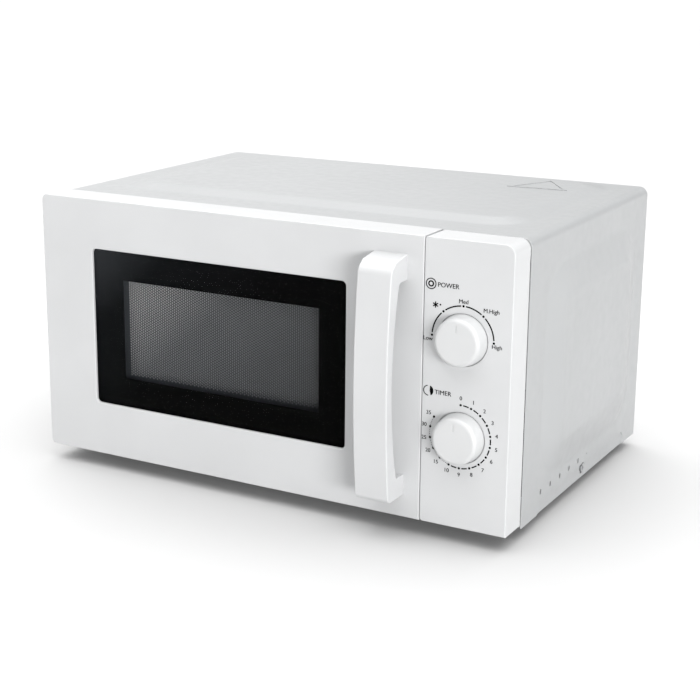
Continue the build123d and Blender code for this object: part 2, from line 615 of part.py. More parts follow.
# ---------------------------------------------------------------- control panel and dials
KNOB_RADIUS = 20.0
KNOB_HEIGHT = 12.5
RECESS = 1.2  # depth of the panel's recess round each knob
RECESS_GAP = 0.7
with BuildPart() as control_panel:
    x0, x1 = SEAM_X + SEAM_GAP, HALF
    for inset, front, rear in ((0, 0, MODULE_DEPTH - RIM_GAP), (WALL, WALL, MODULE_DEPTH)):
        mode = Mode.SUBTRACT if inset else Mode.ADD
        with BuildSketch(at_y(behind(front))) as outline:
            with Locations(((x0 + x1) / 2, MIDDLE_Z)):
                Rectangle(x1 - x0 - 2 * inset, FRONT_TOP - FRONT_BOTTOM - 2 * inset)
            corners = outline.vertices().group_by(Axis.X)[-1].sort_by(Axis.Y)
            fillet(corners[1:], 8 - inset)
            fillet(corners[:1], 2.8 - inset)
            fillet(outline.vertices().group_by(Axis.X)[0], 2.8 - inset)
        extrude(amount=front - rear, mode=mode)
    fillet(control_panel.edges().filter_by_position(Axis.Y, FRONT_Y - 0.01, FRONT_Y + 0.01), FRONT_BEND)
    # shallow recesses that the knobs sit in
    for z in (POWER_Z, TIMER_Z):
        rod((DIAL_X, FRONT_Y + RECESS, z), RECESS + 1, KNOB_RADIUS + RECESS_GAP, (0, -1, 0), Mode.SUBTRACT)
    with BuildSketch(at_y(FRONT_Y - 1)):
        with Locations((DIAL_X, POWER_Z), (DIAL_X, TIMER_Z)):
            Circle(4.5)
    extrude(amount=-(WALL + 2), mode=Mode.SUBTRACT)
keep(control_panel, "control_panel")

KNOB_BASE = -0.6  # height of the knob's lower edge above the panel's face: it stands in the recess
KNOB_HOLLOW = 9.1  # height of the hollow under the knob, above the panel's face
TIMER_BOX = (14.0, 48.0)  # depth of the timer's front and back
for name, z in (("power", POWER_Z), ("timer", TIMER_Z)):
    with BuildPart() as knob:
        for reach, radius in ((KNOB_BASE, KNOB_RADIUS), (KNOB_HEIGHT, 18.4)):
            with BuildSketch(at_y(FRONT_Y - reach)):
                with Locations((DIAL_X, z)):
                    Circle(radius)
        loft()
        fillet(knob.edges().group_by(Axis.Y)[0], 3.6)
        # pointer line near the top of the face
        block(
            (DIAL_X - 0.6, FRONT_Y - KNOB_HEIGHT - 1, z + 8.5),
            (DIAL_X + 0.6, FRONT_Y - KNOB_HEIGHT + 0.4, z + 14),
            Mode.SUBTRACT,
        )
        with BuildSketch(at_y(FRONT_Y - KNOB_BASE)):
            with Locations((DIAL_X, z)):
                Circle(16.8)
                Circle(6.5, mode=Mode.SUBTRACT)
        extrude(amount=KNOB_HOLLOW - KNOB_BASE, mode=Mode.SUBTRACT)
        with BuildSketch(at_y(FRONT_Y - KNOB_BASE)):
            with Locations((DIAL_X, z)):
                Circle(3.05)
                with Locations((0, -2.5)):
                    Rectangle(7, 1, mode=Mode.SUBTRACT, align=(Align.CENTER, Align.MAX))
        extrude(amount=KNOB_HOLLOW - KNOB_BASE, mode=Mode.SUBTRACT)
    keep(knob, f"{name}_knob")
    with BuildPart() as shaft:
        with BuildSketch(at_y(behind(22))):
            with Locations((DIAL_X, z)):
                Circle(3.0)
                with Locations((0, -2.45)):
                    Rectangle(7, 1, mode=Mode.SUBTRACT, align=(Align.CENTER, Align.MAX))
        extrude(amount=22 + 8.6)
    keep(shaft, f"{name}_shaft")

with BuildPart() as timer_unit:
    block((158, behind(TIMER_BOX[0]), 66), (203, behind(TIMER_BOX[1]), 186))
    fillet(timer_unit.edges().filter_by(Axis.Y), 2)
    block((151, behind(TIMER_BOX[0]), 120), (216.5, behind(TIMER_BOX[0] + 1.5), 132))
    for z in (POWER_Z, TIMER_Z):
        rod((DIAL_X, behind(23), z), 12, 3.06, (0, -1, 0), Mode.SUBTRACT)
    # terminal blades on the back
    with BuildSketch(at_y(behind(TIMER_BOX[1]))):
        with Locations((DIAL_X, 126)):
            with GridLocations(12, 24, 3, 4):
                Rectangle(0.8, 6.3)
    extrude(amount=-8)
keep(timer_unit, "timer_unit")

with BuildPart() as timer_bell:
    rod((DIAL_X, behind(38), 58.5), 7.5, 3.0, (0, 0, 1))
    with BuildSketch(at_z(46)):
        with Locations((DIAL_X, behind(38))):
            Circle(17)
    with BuildSketch(at_z(58.5)):
        with Locations((DIAL_X, behind(38))):
            Circle(10)
    loft()
    with BuildSketch(at_z(45.9)):
        with Locations((DIAL_X, behind(38))):
            Circle(15.8)
    with BuildSketch(at_z(57)):
        with Locations((DIAL_X, behind(38))):
            Circle(8.9)
    loft(mode=Mode.SUBTRACT)
keep(timer_bell, "timer_bell")

# ---------------------------------------------------------------- turntable
ROLLER = 9.0
ROLLER_Z = CAVITY_Z[0] + 0.3 + ROLLER
TRAY_Z = ROLLER_Z + ROLLER + 0.3
RING_OUT = 84.0
with BuildPart() as turntable_motor:
    rod((TRAY_X, TRAY_Y, 14.5), 15.2, 24.5, (0, 0, 1))
    fillet(turntable_motor.edges().group_by(Axis.Z)[0], 1.5)
    for side in (-1, 1):
        low = TRAY_X + side * 20
        x0, x1 = sorted((low, TRAY_X + side * 34))
        block((x0, TRAY_Y - 5, 29.7), (x1, TRAY_Y + 5, CAVITY_Z[0] - SHEET))
    rod((TRAY_X, TRAY_Y, 16), 16, 3.05, (0, 0, 1), Mode.SUBTRACT)
keep(turntable_motor, "turntable_motor")

with BuildPart() as turntable_shaft:
    with BuildSketch(at_z(16.5)):
        with Locations((TRAY_X, TRAY_Y)):
            Circle(3.0)
    extrude(amount=13)
    with BuildSketch(at_z(29.5)):
        with Locations((TRAY_X, TRAY_Y)):
            Circle(3.0)
            with Locations((0, -2.1)):
                Rectangle(7, 1, mode=Mode.SUBTRACT, align=(Align.CENTER, Align.MAX))
    extrude(amount=15)
keep(turntable_shaft, "turntable_shaft")

with BuildPart() as drive_coupler:
    rod((TRAY_X, TRAY_Y, CAVITY_Z[0] + 0.6), TRAY_Z - CAVITY_Z[0] - 1, 8.0, (0, 0, 1))
    for turn in (0, 120, 240):
        with Locations(Location((TRAY_X, TRAY_Y, 0), (0, 0, turn))):
            with Locations((7, 0, 43)):
                Box(14, 6, TRAY_Z - 43 - 0.4, align=(Align.CENTER, Align.CENTER, Align.MIN))
    with BuildSketch(at_z(CAVITY_Z[0])):
        with Locations((TRAY_X, TRAY_Y)):
            Circle(3.05)
            with Locations((0, -2.15)):
                Rectangle(7, 1, mode=Mode.SUBTRACT, align=(Align.CENTER, Align.MAX))
    extrude(amount=13, mode=Mode.SUBTRACT)
keep(drive_coupler, "drive_coupler")

with BuildPart() as roller_ring:
    with BuildSketch(at_z(ROLLER_Z - 2.5)):
        with Locations((TRAY_X, TRAY_Y)):
            Circle(RING_OUT)
            Circle(RING_OUT - 6, mode=Mode.SUBTRACT)
    extrude(amount=5)
    for turn in (30, 150, 270):
        out = (math.cos(math.radians(turn)), math.sin(math.radians(turn)), 0)
        for reach, length, radius in ((-1.5, 11, 2.0), (7.5, 2, 2.6)):
            start = (TRAY_X + out[0] * (RING_OUT + reach), TRAY_Y + out[1] * (RING_OUT + reach), ROLLER_Z)
            rod(start, length, radius, out)
keep(roller_ring, "roller_ring")

for number, turn in enumerate((30, 150, 270), 1):
    out = (math.cos(math.radians(turn)), math.sin(math.radians(turn)), 0)
    with BuildPart() as roller:
        start = (TRAY_X + out[0] * (RING_OUT + 1), TRAY_Y + out[1] * (RING_OUT + 1), ROLLER_Z)
        rod(start, 6, ROLLER, out)
        fillet(roller.edges(), 1.2)
        rod((start[0] - out[0], start[1] - out[1], start[2]), 8, 2.06, out, Mode.SUBTRACT)
    keep(roller, f"roller_{number}")

with BuildPart() as glass_tray:
    with BuildSketch(at_y(TRAY_Y)) as section:
        with BuildLine():
            Polyline(
                (TRAY_X, TRAY_Z),
                (TRAY_X + 100, TRAY_Z),
                (TRAY_X + 106, TRAY_Z + 2),
                (TRAY_X + 122.5, TRAY_Z + 10),
                (TRAY_X + 121.5, TRAY_Z + 13.5),
                (TRAY_X + 104, TRAY_Z + 6.5),
                (TRAY_X + 99, TRAY_Z + 5),
                (TRAY_X, TRAY_Z + 5),
                close=True,
            )
        make_face()
        rim = section.vertices().filter_by(lambda v: v.X > TRAY_X + 10)
        fillet(rim, 1.2)
    revolve(axis=Axis((TRAY_X, TRAY_Y, 0), (0, 0, 1)))
    for turn in (60, 180, 300):
        with Locations(Location((TRAY_X, TRAY_Y, 0), (0, 0, turn))):
            with Locations((18, 0, TRAY_Z)):
                Box(7, 9, 4, align=(Align.CENTER, Align.CENTER, Align.MAX))
keep(glass_tray, "glass_tray")

# ---------------------------------------------------------------- door interlock
with BuildPart() as interlock_bracket:
    block((120, PLATE_Y + SHEET, 54), (124, -62, 206))
    block((120, PLATE_Y + SHEET, 54), (146, PLATE_Y + SHEET + 2, 58))
    block((120, PLATE_Y + SHEET, 202), (146, PLATE_Y + SHEET + 2, 206))
    for z in HOOK_Z:
        block((124, PLATE_Y + SHEET + 1, z - 12.5), (141, PLATE_Y + SHEET + 12, z - 9))
    rod((123, -72, 96), 8, 2.0, (1, 0, 0))
keep(interlock_bracket, "interlock_bracket")

SWITCHES = {"primary": HOOK_Z[1] - 5, "secondary": HOOK_Z[0] + 3, "monitor": HOOK_Z[0] + 44}
with BuildPart() as interlock_switches:
    for name, z in SWITCHES.items():
        front = -100 if name == "monitor" else -80
        block((124, front, z - 8), (134, front + 18, z + 8))
        block((126, front + 2, z + 7), (130, front + 10, z + 9.5))
        for step in (4, 10):
            block((134, front + step, z - 5), (140, front + step + 0.8, z + 1))
keep(interlock_switches, "interlock_switches")

with BuildPart() as interlock_lever:
    rod((125, -72, 96), 3, 5.0, (1, 0, 0))
    block((125, -74, 96), (128, -70, 106))
    block((125, -88, 92), (128, -72, 96))
    rod((124, -72, 96), 5, 2.06, (1, 0, 0), Mode.SUBTRACT)
keep(interlock_lever, "interlock_lever")

# ---------------------------------------------------------------- high-voltage parts and magnetron
CORE_X, CORE_Y = 164.0, -12.0
with BuildPart() as transformer_core:
    block((CORE_X - 42, CORE_Y - 31, FLOOR_TOP), (CORE_X + 42, CORE_Y + 31, FLOOR_TOP + 72))
    for side in (-1, 1):
        x0, x1 = sorted((CORE_X + side * 14, CORE_X + side * 28))
        block((x0, CORE_Y - 32, FLOOR_TOP + 14), (x1, CORE_Y + 32, FLOOR_TOP + 58), Mode.SUBTRACT)
keep(transformer_core, "transformer_core")

for name, low, high in (("primary", 14.3, 34), ("secondary", 36, 57.7)):
    with BuildPart() as winding:
        with BuildSketch(at_z(FLOOR_TOP + low)):
            with Locations((CORE_X, CORE_Y)):
                RectangleRounded(55.4, 88, 8)
                Rectangle(28.4, 62.4, mode=Mode.SUBTRACT)
        extrude(amount=high - low)
    keep(winding, f"{name}_winding")

with BuildPart() as capacitor:
    with BuildSketch(at_y(55)):
        with Locations((154, 36)):
            SlotOverall(54, 34)
    extrude(amount=-92)
    fillet(capacitor.edges().group_by(Axis.Y)[0], 2)
    for side in (-1, 1):
        block((154 + side * 10 - 3, 47, 35.6), (154 + side * 10 + 3, 55, 36.4))
keep(capacitor, "capacitor")

with BuildPart() as diode:
    rod((190, 70, 15), 14, 3.5, (0, 1, 0))
    block((186, 84, FLOOR_TOP), (194, 86, 19))
keep(diode, "diode")

MAG_Y, MAG_Z = 0.0, 159.0
with BuildPart() as waveguide:
    block((BAY_X[0], WAVE_Y[0], WAVE_Z[0]), (BAY_X[0] + 17, WAVE_Y[1], WAVE_Z[1]))
    block(
        (BAY_X[0] - 1, WAVE_Y[0] + SHEET, WAVE_Z[0] + SHEET),
        (BAY_X[0] + 17 - SHEET, WAVE_Y[1] - SHEET, WAVE_Z[1] - SHEET),
        Mode.SUBTRACT,
    )
    rod((BAY_X[0] + 10, MAG_Y, MAG_Z), 12, 12.0, (1, 0, 0), Mode.SUBTRACT)
keep(waveguide, "waveguide")

MAG_X = BAY_X[0] + 17
with BuildPart() as magnetron_yoke:
    block((MAG_X, MAG_Y - 30, MAG_Z - 42), (MAG_X + 58, MAG_Y + 30, MAG_Z + 42))
    block((MAG_X + 2, MAG_Y - 31, MAG_Z - 40), (MAG_X + 56, MAG_Y + 31, MAG_Z + 40), Mode.SUBTRACT)
    rod((MAG_X - 1, MAG_Y, MAG_Z), 60, 13.0, (1, 0, 0), Mode.SUBTRACT)
    # filter box welded to the end of the yoke
    block((MAG_X + 58, MAG_Y - 26, MAG_Z - 30), (MAG_X + 82, MAG_Y + 26, MAG_Z + 30))
    block((MAG_X + 59, MAG_Y - 25, MAG_Z - 29), (MAG_X + 81, MAG_Y + 25, MAG_Z + 29), Mode.SUBTRACT)
    rod((MAG_X + 55, MAG_Y, MAG_Z), 6, 13.0, (1, 0, 0), Mode.SUBTRACT)
keep(magnetron_yoke, "magnetron_yoke")

with BuildPart() as magnetron_tube:
    rod((MAG_X + 2.5, MAG_Y, MAG_Z), 53, 17.0, (1, 0, 0))
    rod((MAG_X - 1, MAG_Y, MAG_Z), 60, 11.0, (1, 0, 0))
    rod((MAG_X - 13, MAG_Y, MAG_Z), 14, 7.0, (1, 0, 0))
    fillet(magnetron_tube.edges().group_by(Axis.X)[0], 2)
    # cooling fins pressed on the tube
    for place in range(9):
        x = MAG_X + 9 + 5 * place
        block((x, MAG_Y - 29, MAG_Z - 36), (x + 0.6, MAG_Y + 29, MAG_Z + 36))
keep(magnetron_tube, "magnetron_tube")

# ---------------------------------------------------------------- fan, lamp and board
with BuildPart() as fan_shroud:
    block((114, FAN_Y - 10, 96), (214, FAN_Y - 8.5, 204))
    rod((FAN_X, FAN_Y - 10, FAN_Z), 22, 48.5, (0, 1, 0))
    rod((FAN_X, FAN_Y - 11, FAN_Z), 24, 46.5, (0, 1, 0), Mode.SUBTRACT)
    for side in (-1, 1):
        x0, x1 = sorted((FAN_X + side * 40, FAN_X + side * 49))
        block((x0, FAN_Y + 11, FAN_Z - 4), (x1, FAN_Y + 24, FAN_Z + 4))
        x0, x1 = sorted((FAN_X + side * 29.5, FAN_X + side * 49))
        block((x0, FAN_Y + 20, FAN_Z - 4), (x1, FAN_Y + 24, FAN_Z + 4))
keep(fan_shroud, "fan_shroud")

with BuildPart() as fan_motor:
    block((FAN_X - 29, FAN_Y + 19, FAN_Z - 34), (FAN_X + 29, FAN_Y + 34, FAN_Z + 16))
    rod((FAN_X, FAN_Y + 14, FAN_Z), 24, 9, (0, 1, 0))
    block((FAN_X - 16, FAN_Y + 14, FAN_Z - 38), (FAN_X + 16, FAN_Y + 38, FAN_Z - 16))
    rod((FAN_X, FAN_Y + 13, FAN_Z), 24, 2.05, (0, 1, 0), Mode.SUBTRACT)
keep(fan_motor, "fan_motor")

with BuildPart() as fan_blade:
    rod((FAN_X, FAN_Y - 5, FAN_Z), 14, 11.0, (0, 1, 0))
    fillet(fan_blade.edges().group_by(Axis.Y)[0], 2.5)
    rod((FAN_X, FAN_Y - 2, FAN_Z), 32, 2.0, (0, 1, 0))
    for number in range(6):
        turn = 60 * number
        hub = Plane(origin=(FAN_X, FAN_Y + 1.5, FAN_Z), x_dir=(1, 0, 0), z_dir=(0, -1, 0))
        with Locations(hub * Location((0, 0, 0), (0, 0, turn)) * Location((26, 0, 0), (32, 0, 0))):
            Box(36, 21, 1.4)
    with BuildSketch(at_y(FAN_Y - 12)):
        with Locations((FAN_X, FAN_Z)):
            Circle(60)
            Circle(44.5, mode=Mode.SUBTRACT)
    extrude(amount=-30, mode=Mode.SUBTRACT)
keep(fan_blade, "fan_blade")

with BuildPart() as cavity_lamp:
    rod((111, LAMP_Y, LAMP_Z), 17, 7.0, (1, 0, 0))
    fillet(cavity_lamp.edges().group_by(Axis.X)[0], 5)
keep(cavity_lamp, "cavity_lamp")

with BuildPart() as lamp_socket:
    rod((128.1, LAMP_Y, LAMP_Z), 14, 8.5, (1, 0, 0))
    block((130, LAMP_Y - 1, LAMP_Z + 6), (138, LAMP_Y + 1, LAMP_Z + 28))
    block((BAY_X[0], LAMP_Y - 6, LAMP_Z + 26), (138, LAMP_Y + 6, LAMP_Z + 28))
keep(lamp_socket, "lamp_socket")

with BuildPart() as filter_board:
    block((122, 62, 207), (200, FAN_Y - 10, 208.6))
    block((FAN_X - 26, FAN_Y - 12, 200), (FAN_X + 26, FAN_Y - 10, 207))
    block((132, 70, 208.6), (152, 90, 222))
    rod((172, 74, 212.2), 22, 4.0, (0, 1, 0))
    for step in (0, 9, 18):
        block((182, 68 + step, 208.6), (184, 74 + step, 214))
keep(filter_board, "filter_board")

with BuildPart() as thermostat:
    rod((-20, 60, CAVITY_Z[1] + SHEET), 5, 8.0, (0, 0, 1))
    block((-32, 55, CAVITY_Z[1] + SHEET), (-8, 65, CAVITY_Z[1] + SHEET + 1.5))
    for side in (-1, 1):
        block((-20 + side * 5 - 0.4, 58, 229.8), (-20 + side * 5 + 0.4, 62, 234.8))
keep(thermostat, "thermostat")
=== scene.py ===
"""The looks of the microwave oven: camera, light, materials, floor and the thin visible pieces.

perforated_screen and printed_border replace the CAD nodes door_screen and window_mask. screen_film,
dial_print and dial_lettering are added and have no CAD node.
"""

import json
import math

import bmesh
import bpy
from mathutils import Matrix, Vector


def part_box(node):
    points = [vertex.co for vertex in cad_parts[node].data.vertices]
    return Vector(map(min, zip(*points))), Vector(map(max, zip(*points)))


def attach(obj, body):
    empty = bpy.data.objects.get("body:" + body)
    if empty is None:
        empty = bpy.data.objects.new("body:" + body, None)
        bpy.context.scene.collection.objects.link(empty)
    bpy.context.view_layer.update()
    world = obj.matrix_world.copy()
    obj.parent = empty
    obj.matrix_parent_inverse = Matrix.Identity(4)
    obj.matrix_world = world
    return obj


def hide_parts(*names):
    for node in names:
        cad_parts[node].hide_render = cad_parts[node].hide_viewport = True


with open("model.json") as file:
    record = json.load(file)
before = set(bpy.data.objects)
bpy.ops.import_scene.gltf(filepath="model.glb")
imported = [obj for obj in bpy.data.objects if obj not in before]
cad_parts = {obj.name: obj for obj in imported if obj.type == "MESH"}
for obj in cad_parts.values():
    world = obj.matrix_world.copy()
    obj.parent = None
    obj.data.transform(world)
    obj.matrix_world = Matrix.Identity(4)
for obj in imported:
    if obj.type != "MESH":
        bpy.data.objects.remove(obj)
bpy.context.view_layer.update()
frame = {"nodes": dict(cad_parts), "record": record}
nodes = frame["nodes"]
MM = 0.001

# ---------------------------------------------------------------- camera
CAMERA_AT = (0.6310, -1.1482, 0.4628)
AZIMUTH, ELEVATION = math.radians(30.634), math.radians(14.76)
camera = bpy.data.objects.new("camera", bpy.data.cameras.new("camera"))
camera.data.lens = 78.28
camera.data.sensor_width = 36.0
camera.data.shift_x = 0.0824
camera.data.shift_y = -0.0296
camera.data.clip_start = 0.05
ahead = Vector(
    (
        -math.sin(AZIMUTH) * math.cos(ELEVATION),
        math.cos(AZIMUTH) * math.cos(ELEVATION),
        -math.sin(ELEVATION),
    )
)
camera.location = CAMERA_AT
camera.rotation_euler = ahead.to_track_quat("-Z", "Y").to_euler()
bpy.context.scene.collection.objects.link(camera)
bpy.context.scene.camera = camera


# ---------------------------------------------------------------- node helpers
def map_range(tree, value, limits, smooth=False):
    """The value mapped by limits, which are from low, from high, to low and to high."""
    node = tree.nodes.new("ShaderNodeMapRange")
    if smooth:
        node.interpolation_type = "SMOOTHSTEP"
    for socket, number in zip(("From Min", "From Max", "To Min", "To Max"), limits):
        node.inputs[socket].default_value = number
    tree.links.new(value, node.inputs["Value"])
    return node.outputs["Result"]


def dot_product(tree, vector, fixed):
    node = tree.nodes.new("ShaderNodeVectorMath")
    node.operation = "DOT_PRODUCT"
    node.inputs[1].default_value = fixed
    tree.links.new(vector, node.inputs[0])
    return node.outputs["Value"]


# ---------------------------------------------------------------- light
KEY_AT, KEY_AIM = (5.75, -4.68, 0.87), (0, -0.1, 0.13)
KEY_SIZE, KEY_WATTS = (3.4, 1.6), 500
DOME = (0.45, 0.95, 0.08, 3.5)  # strength by height: dim round the horizon, bright overhead
GLOW_TOWARD = (-0.75, 0.58, 0.32)  # behind the oven's left rear
GLOW = (0.70, 1.0, 0.0, 0.95)  # strength by how nearly a direction points there

lamp = bpy.data.lights.new("key", "AREA")
lamp.shape = "RECTANGLE"
lamp.size, lamp.size_y = KEY_SIZE
lamp.energy = KEY_WATTS
key = bpy.data.objects.new("key", lamp)
key.location = KEY_AT
key.rotation_euler = (Vector(KEY_AIM) - Vector(KEY_AT)).to_track_quat("-Z", "Y").to_euler()
key.visible_camera = False
bpy.context.scene.collection.objects.link(key)

world = bpy.data.worlds.new("studio")
world.use_nodes = True
tree = world.node_tree
direction = tree.nodes.new("ShaderNodeTexCoord").outputs["Generated"]
split = tree.nodes.new("ShaderNodeSeparateXYZ")
tree.links.new(direction, split.inputs["Vector"])
both = tree.nodes.new("ShaderNodeMath")
tree.links.new(map_range(tree, split.outputs["Z"], DOME, smooth=True), both.inputs[0])
glow = map_range(tree, dot_product(tree, direction, GLOW_TOWARD), GLOW, smooth=True)
tree.links.new(glow, both.inputs[1])
background = tree.nodes["Background"]
tree.links.new(both.outputs["Value"], background.inputs["Strength"])
background.inputs["Color"].default_value = (1, 1, 1, 1)
bpy.context.scene.world = world
bpy.context.scene.view_settings.view_transform = "Standard"


# ---------------------------------------------------------------- materials
class Shader:
    """A Principled material, with the noise, ramp and bump nodes that the surfaces here share."""

    def __init__(self, name, **values):
        self.material = bpy.data.materials.new(name)
        self.material.use_nodes = True
        self.tree = self.material.node_tree
        self.bsdf = self.tree.nodes["Principled BSDF"]
        for socket, value in values.items():
            self.bsdf.inputs[socket.replace("_", " ")].default_value = value
        self.place = self.tree.nodes.new("ShaderNodeTexCoord").outputs["Object"]

    def link(self, a, b):
        self.tree.links.new(a, b)

    def stretched(self, scale):
        node = self.tree.nodes.new("ShaderNodeMapping")
        node.inputs["Scale"].default_value = scale
        self.link(self.place, node.inputs["Vector"])
        return node.outputs["Vector"]

    def noise(self, scale, detail=3.0, place=None):
        node = self.tree.nodes.new("ShaderNodeTexNoise")
        node.inputs["Scale"].default_value = scale
        node.inputs["Detail"].default_value = detail
        self.link(place or self.place, node.inputs["Vector"])
        return node.outputs["Fac"]

    def cells(self, scale, place=None):
        node = self.tree.nodes.new("ShaderNodeTexVoronoi")
        node.inputs["Scale"].default_value = scale
        self.link(place or self.place, node.inputs["Vector"])
        return node.outputs["Distance"]

    def bands(self, scale, direction, distortion=0.0):
        node = self.tree.nodes.new("ShaderNodeTexWave")
        node.bands_direction = direction
        node.inputs["Scale"].default_value = scale
        node.inputs["Distortion"].default_value = distortion
        self.link(self.place, node.inputs["Vector"])
        return node.outputs["Fac"]

    def along(self, start, stop):
        """0 at one point of the object and 1 at another, even in between."""
        run = Vector(stop) - Vector(start)
        value = dot_product(self.tree, self.place, run / run.length_squared)
        offset = run.dot(Vector(start)) / run.length_squared
        return map_range(self.tree, value, (offset, offset + 1, 0, 1))

    def colours(self, value, *stops):
        node = self.tree.nodes.new("ShaderNodeValToRGB")
        ramp = node.color_ramp
        while len(ramp.elements) < len(stops):
            ramp.elements.new(0.5)
        for element, (at, colour) in zip(ramp.elements, stops):
            element.position = at
            element.color = (*colour, 1)
        self.link(value, node.inputs["Fac"])
        self.link(node.outputs["Color"], self.bsdf.inputs["Base Color"])
        return self

    def roughness(self, value, low, high):
        """Runs from low to high over the middle part of a noise, where most of its values lie."""
        self.link(map_range(self.tree, value, (0.3, 0.7, low, high)), self.bsdf.inputs["Roughness"])
        return self

    def bump(self, value, strength, distance):
        node = self.tree.nodes.new("ShaderNodeBump")
        node.inputs["Strength"].default_value = strength
        node.inputs["Distance"].default_value = distance
        self.link(value, node.inputs["Height"])
        self.link(node.outputs["Normal"], self.bsdf.inputs["Normal"])
        return self


def near(colour, amount):
    """Two colours, this much below and above the given one."""
    return [tuple(min(1, c * k) for c in colour) for k in (1 - amount, 1 + amount)]


def moulded(name, colour, rough, grain=900, depth=0.00002):
    """Plastic or rubber from a mould, with a fine grain."""
    shader = Shader(name)
    low, high = near(colour, 0.02)
    shader.colours(shader.noise(14), (0.35, low), (0.65, high))
    shader.roughness(shader.noise(60), rough - 0.03, rough + 0.04)
    return shader.bump(shader.noise(grain, 2), 0.35, depth).material


def coated(name, colour, rough):
    """Powder coat or baked enamel on steel, with its slight orange peel."""
    shader = Shader(name)
    low, high = near(colour, 0.015)
    shader.colours(shader.noise(9), (0.35, low), (0.65, high))
    shader.roughness(shader.noise(120), rough - 0.04, rough + 0.05)
    return shader.bump(shader.noise(700, 2), 0.3, 0.00003).material


def speckled(name, colour, fleck, rough):
    """Enamel with darker flecks."""
    shader = Shader(name)
    shader.colours(shader.cells(420), (0.0, fleck), (0.16, fleck), (0.24, colour), (1.0, colour))
    shader.roughness(shader.noise(90), rough - 0.05, rough + 0.06)
    return shader.bump(shader.noise(600), 0.25, 0.00003).material


def plated(name, colour, rough, stretch=(1, 1, 1)):
    """Bare or plated metal, with its grain drawn out along the axis of least scale."""
    shader = Shader(name, Metallic=1.0)
    low, high = near(colour, 0.08)
    grain = shader.noise(500, 4, shader.stretched(stretch))
    shader.colours(shader.noise(35), (0.3, low), (0.7, high))
    shader.roughness(grain, rough - 0.08, rough + 0.1)
    return shader.bump(grain, 0.12, 0.00002).material


def see_through(name, tint, opacity, rough=0.03):
    """A thin clear sheet: light passes it straight, and it keeps its gloss."""
    shader = Shader(name, Roughness=rough, Alpha=opacity, IOR=1.5)
    low, high = near(tint, 0.03)
    shader.colours(shader.noise(20), (0.4, low), (0.6, high))
    return shader.bump(shader.noise(12), 0.02, 0.0002).material


WHITE = (0.515, 0.52, 0.525)
MATERIALS = {
    "case_enamel": coated("case_enamel", (0.348, 0.355, 0.359), 0.33),
    "front_plastic": moulded("front_plastic", WHITE, 0.34),
    "knob_plastic": moulded("knob_plastic", (0.52, 0.525, 0.528), 0.32, 1100),
    "dark_plastic": moulded("dark_plastic", (0.045, 0.046, 0.05), 0.45),
    "cavity_enamel": speckled("cavity_enamel", (0.36, 0.37, 0.36), (0.16, 0.17, 0.18), 0.32),
    "zinc_steel": plated("zinc_steel", (0.62, 0.63, 0.64), 0.36, (1, 12, 12)),
    "white_nylon": moulded("white_nylon", (0.72, 0.72, 0.67), 0.5, 500),
    "foot_rubber": moulded("foot_rubber", (0.03, 0.03, 0.03), 0.75, 350, 0.00005),
    "gland_plastic": moulded("gland_plastic", (0.03, 0.03, 0.032), 0.5, 500),
    "steel_bright": plated("steel_bright", (0.82, 0.82, 0.83), 0.16),
    "aluminium": plated("aluminium", (0.80, 0.81, 0.82), 0.34, (12, 1, 12)),
    "black_moulding": moulded("black_moulding", (0.025, 0.025, 0.028), 0.42, 600),
    "lamp_glass": see_through("lamp_glass", (0.9, 0.9, 0.88), 0.25),
    "tray_glass": see_through("tray_glass", (0.75, 0.86, 0.82), 0.28, 0.04),
}

# painted light and shade: the glazing and what lies behind it get darker from upper left to lower
# right
low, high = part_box("door_window")
width, tall = high[0] - low[0], high[2] - low[2]
PAINTED_SHADING_RUN = ((low[0], low[1], high[2]), (low[0] + 0.6 * width, low[1], high[2] - 1.2 * tall))

# painted reflection: the glazing's tint is lighter at its upper left and darker toward its lower right
shader = Shader("window_plastic", Roughness=0.08, Alpha=0.03, Specular_IOR_Level=0.1)
shader.colours(
    shader.along(*PAINTED_SHADING_RUN),
    (0.0, (0.010, 0.011, 0.012)),
    (1.0, (0.001, 0.001, 0.001)),
)
MATERIALS["window_plastic"] = shader.bump(shader.noise(12), 0.02, 0.0002).material

# painted reflection: the printed border's ink is lighter at the upper left and falls to black toward
# the lower right
shader = Shader("black_print", Specular_IOR_Level=0.02)
shader.colours(
    shader.along(*PAINTED_SHADING_RUN),
    (0.0, (0.028, 0.030, 0.033)),
    (0.25, (0.0035, 0.004, 0.0045)),
    (0.6, (0.001, 0.001, 0.001)),
)
MATERIALS["black_print"] = shader.roughness(shader.noise(60), 0.14, 0.18).material

# a dark screen in front of a milky film, which shows through its holes; the screen carries painted
# light at its upper left and painted shade toward its lower right
shader = Shader("screen_steel", Roughness=0.45)
shader.colours(
    shader.along(*PAINTED_SHADING_RUN),
    (0.16, (0.050, 0.054, 0.060)),
    (0.5, (0.026, 0.029, 0.033)),
    (1.0, (0.012, 0.013, 0.015)),
)
MATERIALS["screen_steel"] = shader.bump(shader.noise(700), 0.3, 0.00003).material

# painted light and shade on the film: bright at its upper left, painted shade toward its lower right
shader = Shader("film", Roughness=0.3, Alpha=0.85)
shader.colours(
    shader.along(*PAINTED_SHADING_RUN),
    (0.16, (0.78, 0.78, 0.78)),
    (0.5, (0.24, 0.245, 0.25)),
    (0.75, (0.155, 0.16, 0.165)),
    (1.0, (0.095, 0.10, 0.105)),
)
MATERIALS["film"] = shader.bump(shader.noise(40), 0.1, 0.0001).material

shader = Shader("mica", Roughness=0.55)
flakes = shader.cells(260, shader.stretched((1, 1, 0.4)))
shader.colours(flakes, (0.1, (0.55, 0.47, 0.34)), (0.7, (0.70, 0.64, 0.52)))
MATERIALS["mica"] = shader.bump(shader.cells(260), 0.3, 0.00005).material

shader = Shader("board")
shader.colours(shader.bands(260, "X", 1.5), (0.3, (0.42, 0.27, 0.10)), (0.7, (0.50, 0.34, 0.14)))
shader.roughness(shader.noise(200), 0.4, 0.55)
MATERIALS["board"] = shader.bump(shader.noise(900), 0.3, 0.00002).material

